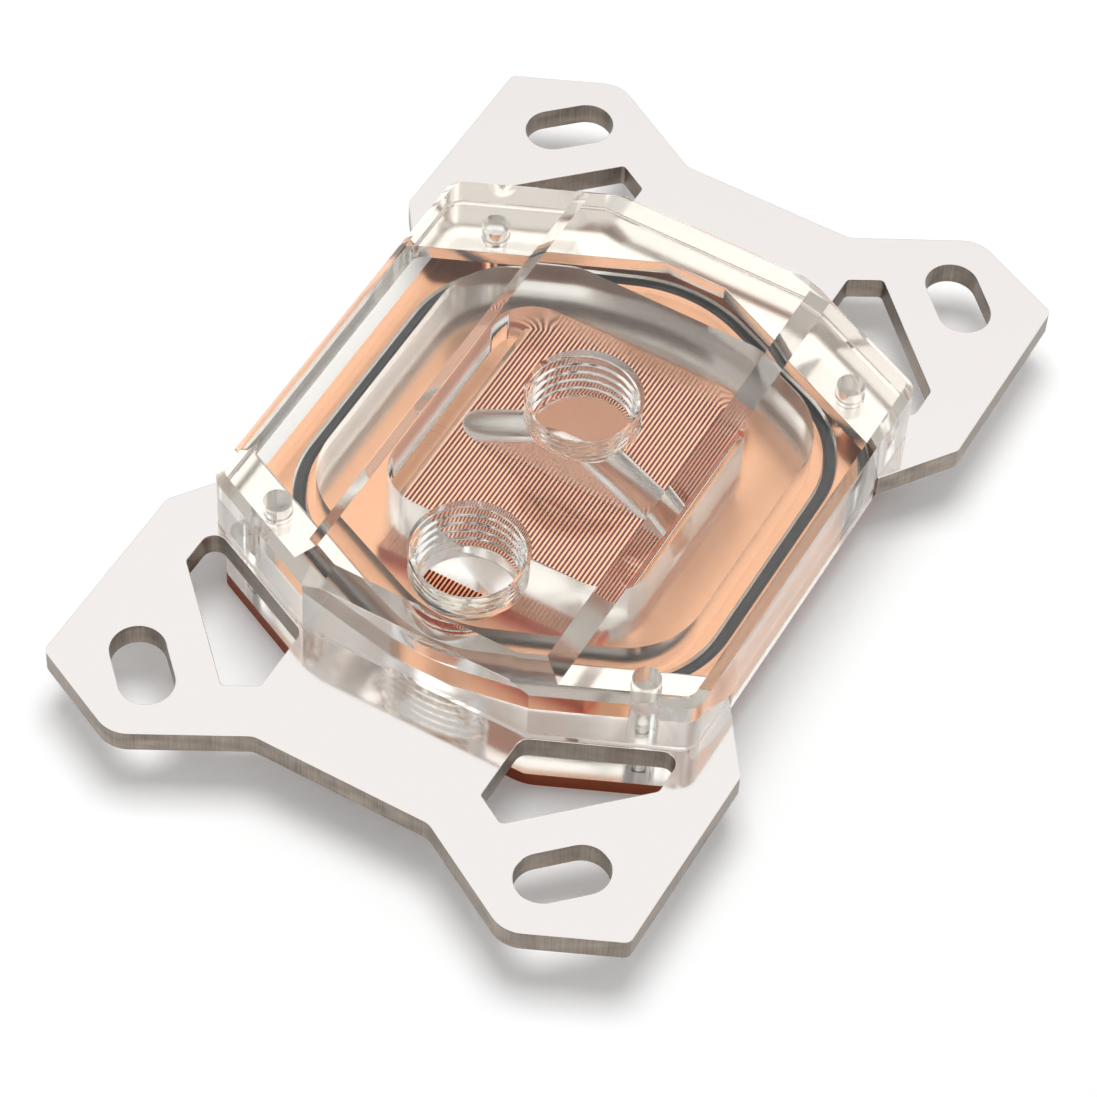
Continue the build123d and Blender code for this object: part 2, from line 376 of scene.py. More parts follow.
class StageSettings(bpy.types.PropertyGroup):
    """Camera, floor and lights."""

    camera_place: bpy.props.FloatVectorProperty(
        name="Camera place",
        description="Where the camera stands",
        default=(130.97 * MM, -263.90 * MM, 372.40 * MM),
        subtype="TRANSLATION",
        size=3,
    )
    camera_turn: bpy.props.FloatVectorProperty(
        name="Camera turn",
        description="How the camera is turned about X, Y and Z",
        default=(radians(37.947), radians(-2.297), radians(29.616)),
        subtype="EULER",
        size=3,
    )
    focal_length: bpy.props.FloatProperty(
        name="Focal length",
        description="Focal length of the camera on a 36 mm sensor",
        default=137.96,
    )
    floor_size: bpy.props.FloatProperty(
        name="Floor size",
        description="Side of the square floor",
        default=3.0,
        unit="LENGTH",
    )
    floor_drop: bpy.props.FloatProperty(
        name="Floor drop",
        description="How far the floor lies below the cold plate, so that they share no plane",
        default=0.01 * MM,
        unit="LENGTH",
    )
    floor_colour: bpy.props.FloatVectorProperty(
        name="Floor colour",
        description="Colour of the pale floor",
        default=(0.92, 0.92, 0.92),
        subtype="COLOR",
        size=3,
    )
    floor_lift: bpy.props.FloatProperty(
        name="Floor lift",
        description="How much the floor is brightened towards white where it is seen",
        default=0.06,
    )
    room_light: bpy.props.FloatProperty(
        name="Room light",
        description="Strength of the room's light from straight above",
        default=0.7,
    )
    room_light_low: bpy.props.FloatProperty(
        name="Low room light",
        description="Strength of the room's light from the horizon",
        default=0.15,
    )
    background_low: bpy.props.FloatProperty(
        name="Low background",
        description="Brightness of the horizon, where it is mirrored or seen through the block",
        default=0.4,
    )
    background_rise: bpy.props.FloatProperty(
        name="Background rise",
        description="How fast the mirrored room brightens upwards, until it is white",
        default=0.78,
    )
    light_turns: bpy.props.IntProperty(
        name="Light turns",
        description="How often light may turn on its way through the clear block",
        default=24,
    )
    key_size: bpy.props.FloatProperty(
        name="Overhead lamp size",
        description="Side of the square lamp that casts the shadows",
        default=0.4,
        unit="LENGTH",
    )
    key_place: bpy.props.FloatVectorProperty(
        name="Overhead lamp place",
        description="Where the lamp stands that casts the shadows",
        default=(-0.08, 0.12, 0.75),
        subtype="TRANSLATION",
        size=3,
    )
    key_power: bpy.props.FloatProperty(
        name="Overhead lamp",
        description="Power of the soft lamp above the block, which no mirror shows",
        default=3.7,
        unit="POWER",
    )
    inner_size: bpy.props.FloatProperty(
        name="Inner lamp size",
        description="Side of the broad square lamp that lights what lies inside the clear block",
        default=1.2,
        unit="LENGTH",
    )
    inner_place: bpy.props.FloatVectorProperty(
        name="Inner lamp place",
        description="Where the broad lamp stands",
        default=(-0.02, 0.04, 0.75),
        subtype="TRANSLATION",
        size=3,
    )
    inner_power: bpy.props.FloatProperty(
        name="Inner lamp",
        description="Power of the broad lamp",
        default=3.1,
        unit="POWER",
    )


# Node helpers


class Socket:
    """A node's output that adds Math nodes when it is used in arithmetic."""

    def __init__(self, tree, output):
        self.tree = tree
        self.output = output

    def __add__(self, other):
        return maths(self.tree, "ADD", self, other)

    def __radd__(self, other):
        return maths(self.tree, "ADD", other, self)

    def __sub__(self, other):
        return maths(self.tree, "SUBTRACT", self, other)

    def __rsub__(self, other):
        return maths(self.tree, "SUBTRACT", other, self)

    def __mul__(self, other):
        return maths(self.tree, "MULTIPLY", self, other)

    def __rmul__(self, other):
        return maths(self.tree, "MULTIPLY", other, self)

    def __truediv__(self, other):
        return maths(self.tree, "DIVIDE", self, other)

    def __rtruediv__(self, other):
        return maths(self.tree, "DIVIDE", other, self)

    def __abs__(self):
        return maths(self.tree, "ABSOLUTE", self)


def add_node(tree, kind, settings=None, values=None, output=0):
    """Adds a node, sets its settings, fills its inputs and returns one of its outputs."""
    node = tree.nodes.new(kind)
    for name, setting in (settings or {}).items():
        setattr(node, name, setting)
    for name, value in (values or {}).items():
        if isinstance(value, Socket):
            tree.links.new(value.output, node.inputs[name])
        else:
            node.inputs[name].default_value = value
    return Socket(tree, node.outputs[output]) if len(node.outputs) else node


def outputs_of(socket):
    """All the outputs of the node that the socket belongs to."""
    return [Socket(socket.tree, output) for output in socket.output.node.outputs]


def axes(vector):
    """The X, Y and Z of a vector, as three sockets."""
    return outputs_of(add_node(vector.tree, "ShaderNodeSeparateXYZ", values={"Vector": vector}))


def maths(tree, operation, *values):
    """A Math node on numbers and sockets."""
    return add_node(tree, "ShaderNodeMath", {"operation": operation}, dict(enumerate(values)))


def clamped(socket, low=0.0, high=1.0):
    """The socket's value, held between two others."""
    return maths(socket.tree, "MINIMUM", maths(socket.tree, "MAXIMUM", socket, low), high)


# Mesh helpers


def link(name, data):
    """A new object with the given mesh, lamp or camera, in the scene."""
    piece = bpy.data.objects.new(name, data)
    bpy.context.scene.collection.objects.link(piece)
    return piece


def merged_copy(node, name):
    """A copy of a node of the frame with its points merged and its flat faces joined."""
    shape = bmesh.new()
    shape.from_mesh(frame["nodes"][node].data)
    bmesh.ops.remove_doubles(shape, verts=shape.verts, dist=MERGING)
    bmesh.ops.dissolve_limit(shape, angle_limit=ONE_PLANE, verts=shape.verts, edges=shape.edges)
    mesh = bpy.data.meshes.new(name)
    shape.to_mesh(mesh)
    shape.free()
    return link(name, mesh)


def apply_modifiers(piece):
    """Turns the piece and its modifiers into a plain mesh."""
    graph = bpy.context.evaluated_depsgraph_get()
    finished = bpy.data.meshes.new_from_object(piece.evaluated_get(graph))
    piece.modifiers.clear()
    piece.data = finished


def cut(piece, cutter):
    """Takes the cutter's volume out of the piece and removes the cutter."""
    boolean = piece.modifiers.new("cut", "BOOLEAN")
    boolean.operation = "DIFFERENCE"
    boolean.solver = "MANIFOLD"
    boolean.object = cutter
    apply_modifiers(piece)
    bpy.data.objects.remove(cutter)


def break_edges(piece, width, limit):
    """Bevels the edges that have a weight, or else the corners of a flat shape."""
    bevel = piece.modifiers.new("edges", "BEVEL")
    bevel.limit_method = limit
    bevel.angle_limit = CORNER
    bevel.width = width
    bevel.segments = BEVEL_STEPS
    apply_modifiers(piece)


def dress(piece, *materials):
    """Gives the piece these materials, in this order."""
    piece.data.materials.clear()
    for material in materials:
        piece.data.materials.append(material)


def soften(piece, angle):
    """Smooth shading that keeps large faces flat and sharper edges crisp."""
    piece.data.polygons.foreach_set("use_smooth", [True] * len(piece.data.polygons))
    piece.data.set_sharp_from_angle(angle=angle)
    weighted = piece.modifiers.new("normals", "WEIGHTED_NORMAL")
    weighted.keep_sharp = True
    apply_modifiers(piece)


def part_faces(piece, moves):
    """Moves the points at each given level, so that touching faces part from each other."""
    for vertex in piece.data.vertices:
        for level, move in moves.items():
            if abs(vertex.co.z - level) < 2 * FIT:
                vertex.co.z += move


def finish_piece(piece, node):
    """Seats a finished piece on the body in place of a node of the frame."""
    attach(piece, BODY)
    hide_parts(node)


# Geometry Nodes trees


def start_tree(name, sizes):
    """An empty tree with a geometry input and output and named sizes."""
    tree = bpy.data.node_groups.new(name, "GeometryNodeTree")
    tree.interface.new_socket("Geometry", in_out="OUTPUT", socket_type="NodeSocketGeometry")
    tree.interface.new_socket("Geometry", in_out="INPUT", socket_type="NodeSocketGeometry")
    for size in sizes:
        tree.interface.new_socket(size, in_out="INPUT", socket_type="NodeSocketFloat")
    entries = outputs_of(add_node(tree, "NodeGroupInput"))
    return tree, {entry.output.name: entry for entry in entries}


def end_tree(tree, geometry, material):
    """Realizes the instances, sets the material and closes the tree."""
    realized = add_node(tree, "GeometryNodeRealizeInstances", values={"Geometry": geometry})
    dressed = add_node(
        tree, "GeometryNodeSetMaterial", values={"Geometry": realized, "Material": material}
    )
    add_node(tree, "NodeGroupOutput", values={"Geometry": dressed})


def grow(piece, tree, sizes):
    """Runs a tree on the piece with the given sizes and keeps the result as its mesh."""
    modifier = piece.modifiers.new(tree.name, "NODES")
    modifier.node_group = tree
    for item in tree.interface.items_tree:
        if item.in_out == "INPUT" and item.name in sizes:
            modifier[item.identifier] = sizes[item.name]
    apply_modifiers(piece)


def threaded_rod_tree(material, segments, rows):
    """A rod whose radius follows a screw thread, with an optional conical mouth."""
    names = ["Radius", "Depth", "Pitch", "Bottom", "Top", "Runout", "Mouth Radius", "Mouth Top"]
    tree, size = start_tree("threaded_rod", names)
    rod = add_node(
        tree,
        "GeometryNodeMeshCylinder",
        {"fill_type": "NGON"},
        {
            "Vertices": segments,
            "Side Segments": rows,
            "Radius": size["Radius"],
            "Depth": size["Top"] - size["Bottom"],
        },
    )
    x, y, z = axes(add_node(tree, "GeometryNodeInputPosition"))
    height = z + (size["Top"] + size["Bottom"]) / 2.0
    turn = maths(tree, "ARCTAN2", y, x) / radians(360)
    phase = maths(tree, "FRACT", height / size["Pitch"] - turn + WHOLE_TURNS)
    ridge = 1.0 - abs(phase * 2.0 - 1.0)
    flattened = clamped(ridge * THREAD_STEEPNESS - THREAD_START)
    runout = clamped((height - size["Bottom"]) / size["Runout"])
    threaded = size["Radius"] + size["Depth"] * flattened * runout
    mouth = size["Mouth Radius"] - size["Mouth Top"] + height
    radius = maths(tree, "MAXIMUM", threaded, mouth)
    scale = radius / size["Radius"]
    place = add_node(
        tree, "ShaderNodeCombineXYZ", values={"X": x * scale, "Y": y * scale, "Z": height}
    )
    shaped = add_node(tree, "GeometryNodeSetPosition", values={"Geometry": rod, "Position": place})
    end_tree(tree, shaped, material)
    return tree


def seal_tree(material):
    """A flattened round section carried along a closed line with rounded corners."""
    names = ["Corner Radius", "Peak Radius", "Half Width", "Half Height"]
    tree, size = start_tree("seal_ring", names)
    path = add_node(tree, "GeometryNodeMeshToCurve", values={"Mesh": size["Geometry"]})
    sideways = axes(add_node(tree, "GeometryNodeInputPosition"))[0]
    at_peak = maths(tree, "LESS_THAN", abs(sideways), MM)
    radius = size["Corner Radius"] + at_peak * (size["Peak Radius"] - size["Corner Radius"])
    rounded = add_node(
        tree,
        "GeometryNodeFilletCurve",
        {"mode": "POLY"},
        {"Curve": path, "Radius": radius, "Count": SEAL_CORNER_STEPS},
    )
    circle = add_node(
        tree,
        "GeometryNodeCurvePrimitiveCircle",
        values={"Resolution": SEAL_SIDES, "Radius": size["Half Width"]},
    )
    across, up = axes(add_node(tree, "GeometryNodeInputPosition"))[:2]
    tall = up * (size["Half Height"] / size["Half Width"] * SEAL_PRESS)
    pressed = clamped(tall, 0.0 - size["Half Height"], size["Half Height"])
    place = add_node(tree, "ShaderNodeCombineXYZ", values={"X": across, "Y": pressed})
    section = add_node(
        tree, "GeometryNodeSetPosition", values={"Geometry": circle, "Position": place}
    )
    ring = add_node(
        tree, "GeometryNodeCurveToMesh", values={"Curve": rounded, "Profile Curve": section}
    )
    end_tree(tree, ring, material)
    return tree


def screw_set_tree(material, screw):
    """One screw at each point of the mesh that the tree is run on."""
    tree, size = start_tree("screw_set", [])
    source = add_node(tree, "GeometryNodeObjectInfo", values={"Object": screw}, output="Geometry")
    copies = add_node(
        tree,
        "GeometryNodeInstanceOnPoints",
        values={"Points": size["Geometry"], "Instance": source},
    )
    end_tree(tree, copies, material)
    return tree


# Materials


def new_material(name):
    """A material with only its output, and its tree."""
    material = bpy.data.materials.new(name)
    material.use_nodes = True
    material.node_tree.nodes.clear()
    return material, material.node_tree


def place_in(tree, scale):
    """Object coordinates, stretched by a scale for each axis."""
    coordinates = add_node(tree, "ShaderNodeTexCoord", output="Object")
    return add_node(tree, "ShaderNodeMapping", values={"Vector": coordinates, "Scale": scale})


def noise(tree, scale, detail=2.0):
    """Noise between nothing and one, on stretched Object coordinates."""
    return add_node(
        tree,
        "ShaderNodeTexNoise",
        values={"Vector": place_in(tree, scale), "Scale": 1.0, "Detail": detail},
    )


def surface(material, tree, values):
    """A Principled shader with the given sockets, joined to the output."""
    shader = add_node(tree, "ShaderNodeBsdfPrincipled", values=values)
    add_node(tree, "ShaderNodeOutputMaterial", values={"Surface": shader})
    return material


def opaque(colour):
    """The colour with full alpha, as a shader socket takes it."""
    return (*colour, 1.0)


def bumped(tree, height, distance):
    """A normal bumped by a height of the given size."""
    return add_node(
        tree, "ShaderNodeBump", values={"Height": height, "Distance": distance, "Strength": 1.0}
    )


def blended(tree, factor, first, second):
    """A colour between two others, each of them fixed or made by a node."""
    a, b = (end if isinstance(end, Socket) else opaque(end) for end in (first, second))
    # The colour sockets of a Mix node are its seventh and eighth inputs and its third output
    return add_node(
        tree, "ShaderNodeMix", {"data_type": "RGBA"}, {"Factor": factor, 6: a, 7: b}, output=2
    )


def clear_acrylic(name, colour, grain, roughness, spread, bump=0.0):
    """Clear acrylic whose finish varies with noise of the given grain."""
    material, tree = new_material(name)
    marks = noise(tree, grain)
    values = {
        "Base Color": opaque(colour),
        "Roughness": roughness + marks * spread,
        "IOR": ACRYLIC_IOR,
        "Transmission Weight": 1.0,
    }
    if bump:
        values["Normal"] = bumped(tree, marks, bump)
    return surface(material, tree, values)


def acrylic_finishes(finishes):
    """Clear acrylic as polished, flat milled, thread milled and frosted by a ball cutter."""
    colour = finishes.acrylic
    haze = (400.0, 400.0, 400.0)
    rings = (600.0, 600.0, 5000.0)
    ripples = (600.0, 600.0, 2000.0)
    bump = 0.004 * MM
    return [
        clear_acrylic("polished_acrylic", colour, haze, roughness=0.01, spread=0.01),
        clear_acrylic("milled_acrylic", colour, rings, roughness=0.17, spread=0.06, bump=bump),
        clear_acrylic("turned_acrylic", colour, rings, roughness=0.05, spread=0.04),
        clear_acrylic("rough_acrylic", colour, ripples, roughness=0.25, spread=0.1, bump=bump),
    ]


def bare_copper(finishes):
    """Copper with fine machining marks, painted shade in deep red between the fins and on their
    flanks, a painted highlight along their crests, and painted shade on the plate's sides.
    """
    material, tree = new_material("bare_copper")
    marks = noise(tree, (300.0, 6000.0, 3000.0))
    x, y, z = axes(add_node(tree, "ShaderNodeTexCoord", output="Object"))
    fins = bpy.context.scene.water_block_sizes
    # How strongly painted shade darkens the flanks of the fins, and how much less metallic the
    # painted shade between the fins is
    flank_share = 0.5
    shade_dullness = 0.6

    above_bottom = maths(tree, "GREATER_THAN", z, PLATE_LOW.z + NEAR)
    below_top = maths(tree, "LESS_THAN", z, PLATE_TOP - NEAR)
    in_width = maths(tree, "LESS_THAN", abs(x), fins.fin_field_width / 2)
    in_length = maths(tree, "LESS_THAN", abs(y), fins.fin_field_length / 2)
    within = in_width * in_length * above_bottom
    # The plate's sides outside the field of fins, which get painted shade and a rougher finish
    edge = (1.0 - within) * above_bottom * below_top

    along_pitch = maths(tree, "FRACT", x / fins.fin_pitch + WHOLE_TURNS)
    from_crest = abs(along_pitch - 0.5) * fins.fin_pitch
    flank = clamped(from_crest * 2.0 / fins.fin_crest - 1.0)
    # Painted shade: the copper turns deep red with depth below the fins' tops and on their flanks
    depth = clamped((PLATE_HIGH.z - z) / fins.fin_shade_depth)
    deep = within * clamped(depth + flank * flank_share)
    # Painted highlight along the top of each fin, where neither the flanks nor the depth get
    # painted shade
    crest = within * (1.0 - flank) * (1.0 - depth)

    # Painted shade on the plate's sides
    top = blended(tree, edge, finishes.copper, finishes.shaded_side_copper)
    # Painted highlight on the fins' crests
    top = blended(tree, crest, top, finishes.highlight_copper)
    return surface(
        material,
        tree,
        {
            # The painted shade between the fins, deep red and less metallic
            "Base Color": blended(tree, deep, top, finishes.shaded_fin_copper),
            "Metallic": 1.0 - deep * shade_dullness,
            "Roughness": 0.25 + marks * 0.08 + edge * 0.2 - crest * 0.05,
            "Normal": bumped(tree, marks, 0.002 * MM),
        },
    )


def polished_steel(finishes):
    """The mirror-like faces of the bracket."""
    material, tree = new_material("polished_steel")
    marks = noise(tree, (300.0, 300.0, 300.0), 4.0)
    return surface(
        material,
        tree,
        {
            "Base Color": opaque(finishes.steel),
            "Metallic": 1.0,
            "Roughness": 0.06 + marks * 0.04,
            "Normal": bumped(tree, marks, 0.001 * MM),
        },
    )


def cut_steel(finishes):
    """The laser-cut edges of the bracket, with their upright grain."""
    material, tree = new_material("cut_steel")
    lines = noise(tree, (7000.0, 7000.0, 200.0), 3.0)
    patches = noise(tree, (250.0, 250.0, 700.0), 3.0)
    grain = clamped(lines * 1.2 + patches * 1.6 - 0.9)
    brightening = 2.4
    lighter = [min(part * brightening, 1.0) for part in finishes.cut_edge]
    return surface(
        material,
        tree,
        {
            "Base Color": blended(tree, grain, finishes.cut_edge, lighter),
            "Metallic": 1.0,
            "Roughness": 0.3 + grain * 0.15,
            "Normal": bumped(tree, grain, 0.02 * MM),
        },
    )


def seal_rubber(finishes):
    """Black rubber."""
    material, tree = new_material("seal_rubber")
    grain = noise(tree, (4000.0, 4000.0, 4000.0))
    return surface(
        material,
        tree,
        {
            "Base Color": opaque(finishes.rubber),
            "Roughness": 0.45 + grain * 0.15,
            "Normal": bumped(tree, grain, 0.003 * MM),
        },
    )


def screw_steel(finishes):
    """Plain turned steel."""
    material, tree = new_material("screw_steel")
    marks = noise(tree, (3000.0, 3000.0, 6000.0))
    return surface(
        material,
        tree,
        {
            "Base Color": opaque(finishes.screw),
            "Metallic": 1.0,
            "Roughness": 0.2 + marks * 0.1,
        },
    )


# Clear block


def depth_inside(point, half_width, slant_inset=0.0, flat_inset=0.0):
    """How far a point lies inside a plan outline with slanting ends, set in from the block's."""
    sizes = bpy.context.scene.water_block_sizes
    x = abs(point.x)
    y = abs(point.y)
    corner = TOP_HIGH.y - slant_inset / cos(sizes.end_slant)
    slant = corner - (x - sizes.end_flat) * tan(sizes.end_slant)
    return min(half_width - x, TOP_HIGH.y - flat_inset - y, slant - y)


def port_place(port):
    """Where the axis of a port stands, seen from above."""
    return Vector(mounts[port]["pos_m"][:2])


def screw_place():
    """How far the screws stand from the middle, along X and along Y."""
    inset = bpy.context.scene.water_block_hardware.head_radius
    return Vector((SCREWS_HIGH.x - inset, SCREWS_HIGH.y - inset))


def is_in_port(centre):
    """Whether a face of the clear block lies on the thread or the mouth of a port."""
    sizes = bpy.context.scene.water_block_sizes
    reach = sizes.mouth_radius + sizes.edge_bevel
    near_port = any((port_place(port) - centre.xy).length < reach for port in PORTS)
    return near_port and TOP_HIGH.z - sizes.port_floor < centre.z < TOP_HIGH.z - NEAR / 2


def is_in_screw_hole(centre):
    """Whether a face of the clear block lies in one of the four screw holes."""
    hardware = bpy.context.scene.water_block_hardware
    from_screw = (Vector((abs(centre.x), abs(centre.y))) - screw_place()).length
    return (
        from_screw < hardware.screw_radius + HOLE_WIDER and centre.z < SCREWS_HIGH.z + HOLE_HIGHER
    )


def is_in_fan(centre):
    """Whether a face of the clear block lies in the distributor or on the floor of its port."""
    sizes = bpy.context.scene.water_block_sizes
    floor = TOP_HIGH.z - sizes.port_floor
    if abs(centre.z - floor) < NEAR:
        return (port_place("inlet_port") - centre.xy).length < PORT_RADIUS
    return (
        abs(centre.x) < sizes.fin_field_width / 2
        and abs(centre.y - sizes.fan_middle) < sizes.fan_thickness / 2 + FIT
        and OVER_FINS < centre.z < floor
    )


def is_milled(centre):
    """Whether a face of the clear block lies on a wall that was milled inside it."""
    sizes = bpy.context.scene.water_block_sizes
    if centre.z > TOP_HIGH.z - sizes.spine_height or centre.z < TOP_LOW.z + FIT:
        return False
    if PLATE_HIGH.z < centre.z < OVER_FINS:
        return False
    if centre.z < WING_LOW.z - FIT:
        return depth_inside(centre, PLATE_HIGH.x) > INSIDE
    if centre.z < WING_HIGH.z + NEAR:
        core = depth_inside(centre, TOP_HIGH.x, sizes.wing_depth, sizes.wing_depth_at_middle)
        return abs(centre.x) < TOP_HIGH.x - INSIDE and core > -INSIDE
    return depth_inside(centre, TOP_HIGH.x) > sizes.shoulder_bevel + INSIDE


def finish_of(face_centre):
    """The finish of a face of the clear block."""
    if is_in_fan(face_centre):
        return ROUGH
    if is_in_port(face_centre) or is_in_screw_hole(face_centre):
        return TURNED
    return MILLED if is_milled(face_centre) else POLISHED


def mark_outer_edges(piece):
    """Gives a bevel weight to the sharp edges between polished faces."""
    shape = bmesh.new()
    shape.from_mesh(piece.data)
    weights = shape.edges.layers.float.new("bevel_weight_edge")
    for edge in shape.edges:
        sides = [finish_of(face.calc_center_median()) for face in edge.link_faces]
        if sides == [POLISHED, POLISHED] and edge.calc_face_angle() > CREASE:
            edge[weights] = 1.0
    shape.to_mesh(piece.data)
    shape.free()


def port_cutter(tree, mount, sizes):
    """The threaded hollow of one port, as a solid to cut with."""
    place = port_place(mount)
    cutter = link("cutter", bpy.data.meshes.new("cutter"))
    top = TOP_HIGH.z
    grow(
        cutter,
        tree,
        {
            "Radius": PORT_RADIUS + HOLLOW_WIDER,
            "Depth": sizes.thread_depth,
            "Pitch": sizes.thread_pitch,
            "Bottom": top - sizes.port_floor - HOLLOW_DEEPER,
            "Top": top + HOLLOW_HIGHER,
            "Runout": sizes.thread_runout,
            "Mouth Radius": sizes.mouth_radius + MOUTH_WIDER,
            "Mouth Top": top,
        },
    )
    for vertex in cutter.data.vertices:
        vertex.co.x += place.x
        vertex.co.y += place.y
    return cutter


class WATERBLOCK_OT_clear_block(bpy.types.Operator):
    """Build the clear acrylic block with its threaded ports"""

    bl_idname = "water_block.clear_block"
    bl_label = "Clear Block"

    def execute(self, context):
        sizes = context.scene.water_block_sizes
        block = merged_copy("clear_top", "clear_block")
        hair = sizes.contact_gap
        part_faces(block, {PLATE_TOP: hair, SEAL_HIGH.z: hair, WING_LOW.z: -hair})
        mark_outer_edges(block)
        break_edges(block, sizes.edge_bevel, "WEIGHT")
        skins = acrylic_finishes(context.scene.water_block_finishes)
        tree = threaded_rod_tree(skins[TURNED], PORT_SIDES, PORT_ROWS)
        for port in PORTS:
            cut(block, port_cutter(tree, port, sizes))
        dress(block, *skins)
        for face in block.data.polygons:
            face.material_index = finish_of(face.center)
        soften(block, FLAT_SIDED)
        finish_piece(block, "clear_top")
        return {"FINISHED"}


# Plate, bracket, seal and screws


class WATERBLOCK_OT_cold_plate(bpy.types.Operator):
    """Give the cold plate its copper finish"""

    bl_idname = "water_block.cold_plate"
    bl_label = "Cold Plate"

    def execute(self, context):
        dress(frame["nodes"]["cold_plate"], bare_copper(context.scene.water_block_finishes))
        return {"FINISHED"}


class WATERBLOCK_OT_bracket(bpy.types.Operator):
    """Build the two steel wings of the bracket with broken edges"""

    bl_idname = "water_block.bracket"
    bl_label = "Bracket"

    def execute(self, context):
        finishes = context.scene.water_block_finishes
        faces = polished_steel(finishes)
        edges = cut_steel(finishes)
        for side in ("back", "front"):
            wing = merged_copy(f"bracket_wing_{side}", f"steel_wing_{side}")
            break_edges(wing, context.scene.water_block_hardware.wing_bevel, "ANGLE")
            dress(wing, faces, edges)
            for face in wing.data.polygons:
                face.material_index = int(abs(face.normal.z) < UPRIGHT)
            soften(wing, FLAT_SIDED)
            finish_piece(wing, f"bracket_wing_{side}")
        return {"FINISHED"}


class WATERBLOCK_OT_seal(bpy.types.Operator):
    """Build the pressed rubber seal along its groove"""

    bl_idname = "water_block.seal"
    bl_label = "Seal"

    def execute(self, context):
        hardware = context.scene.water_block_hardware
        half_width = hardware.seal_width / 2
        middle = (SEAL_LOW.z + SEAL_HIGH.z) / 2
        x = SEAL_HIGH.x - half_width
        blunting = hardware.seal_peak * (1.0 / cos(hardware.seal_slant) - 1.0)
        peak = SEAL_HIGH.y - half_width + blunting
        side = peak - x * tan(hardware.seal_slant)
        outline = [(x, -side), (x, side), (0.0, peak), (-x, side), (-x, -side), (0.0, -peak)]
        mesh = bpy.data.meshes.new("seal_ring")
        mesh.from_pydata(
            [(a, b, middle) for a, b in outline],
            [(i, (i + 1) % len(outline)) for i in range(len(outline))],
            [],
        )
        seal = link("seal_ring", mesh)
        grow(
            seal,
            seal_tree(seal_rubber(context.scene.water_block_finishes)),
            {
                "Corner Radius": hardware.seal_corner,
                "Peak Radius": hardware.seal_peak,
                "Half Width": half_width,
                "Half Height": (SEAL_HIGH.z - SEAL_LOW.z) / 2 - SEAL_ROOM,
            },
        )
        soften(seal, ROUNDED)
        finish_piece(seal, "main_seal")
        return {"FINISHED"}


def countersunk_screw(hardware, material):
    """One screw that stands at the origin: a threaded shank on its head."""
    bottom = SCREWS_LOW.z
    top = SCREWS_HIGH.z
    cone = hardware.head_radius - hardware.screw_radius
    screw = link("screw", bpy.data.meshes.new("screw"))
    grow(
        screw,
        threaded_rod_tree(material, SCREW_SIDES, SCREW_ROWS),
        {
            "Radius": hardware.screw_radius,
            "Depth": -hardware.screw_thread_depth,
            "Pitch": hardware.screw_pitch,
            "Bottom": bottom + cone,
            "Top": top,
            "Runout": hardware.screw_pitch,
            "Mouth Radius": 0.0,
            "Mouth Top": top,
        },
    )
    shape = bmesh.new()
    shape.from_mesh(screw.data)
    head = bmesh.ops.create_cone(
        shape,
        cap_ends=True,
        segments=SCREW_SIDES,
        radius1=hardware.head_radius,
        radius2=hardware.screw_radius,
        depth=cone,
    )
    for vertex in head["verts"]:
        vertex.co.z += bottom + cone / 2
    shape.to_mesh(screw.data)
    shape.free()
    return screw


class WATERBLOCK_OT_screws(bpy.types.Operator):
    """Build the four countersunk screws with their threads"""

    bl_idname = "water_block.screws"
    bl_label = "Screws"

    def execute(self, context):
        material = screw_steel(context.scene.water_block_finishes)
        screw = countersunk_screw(context.scene.water_block_hardware, material)
        x, y = screw_place()
        mesh = bpy.data.meshes.new("screw_set")
        mesh.from_pydata([(sx * x, sy * y, 0) for sx in (-1, 1) for sy in (-1, 1)], [], [])
        screws = link("screw_set", mesh)
        grow(screws, screw_set_tree(material, screw), {})
        bpy.data.objects.remove(screw)
        soften(screws, ROUNDED)
        finish_piece(screws, "screws")
        return {"FINISHED"}


# Stage


def seen_rays(tree, kinds=("Is Camera Ray", "Is Glossy Ray", "Is Transmission Ray")):
    """One for the kinds of rays that show a surface, mirror it or see it through glass."""
    return clamped(sum(add_node(tree, "ShaderNodeLightPath", output=kind) for kind in kinds))


def softbox(name, place, side, power):
    """A square lamp that faces the origin and that the camera doesn't see."""
    lamp = bpy.data.lights.new(name, "AREA")
    lamp.size = side
    lamp.energy = power
    box = link(name, lamp)
    box.location = place
    box.rotation_euler = Vector(place).to_track_quat("Z", "Y").to_euler()
    box.visible_camera = False
    return box


def lay_floor(stage):
    """The pale floor, lifted towards white only where it is seen."""
    half = stage.floor_size / 2
    low = -stage.floor_drop
    corners = [(-half, -half, low), (half, -half, low), (half, half, low), (-half, half, low)]
    mesh = bpy.data.meshes.new("floor")
    mesh.from_pydata(corners, [], [(0, 1, 2, 3)])
    floor = link("floor", mesh)
    material, tree = new_material("pale_floor")
    values = {
        "Base Color": opaque(stage.floor_colour),
        "Roughness": 0.9,
        "Emission Color": blended(tree, seen_rays(tree), BLACK, WHITE),
        "Emission Strength": stage.floor_lift,
    }
    dress(floor, surface(material, tree, values))


def hang_lamps(stage):
    """One lamp for the shadows, which nothing mirrors, and one for the inside of the block."""
    overhead = softbox("overhead_lamp", stage.key_place, stage.key_size, stage.key_power)
    overhead.visible_glossy = False
    overhead.visible_transmission = False
    inner = softbox("inner_lamp", stage.inner_place, stage.inner_size, stage.inner_power)
    inner.visible_glossy = False
    inner.visible_diffuse = False


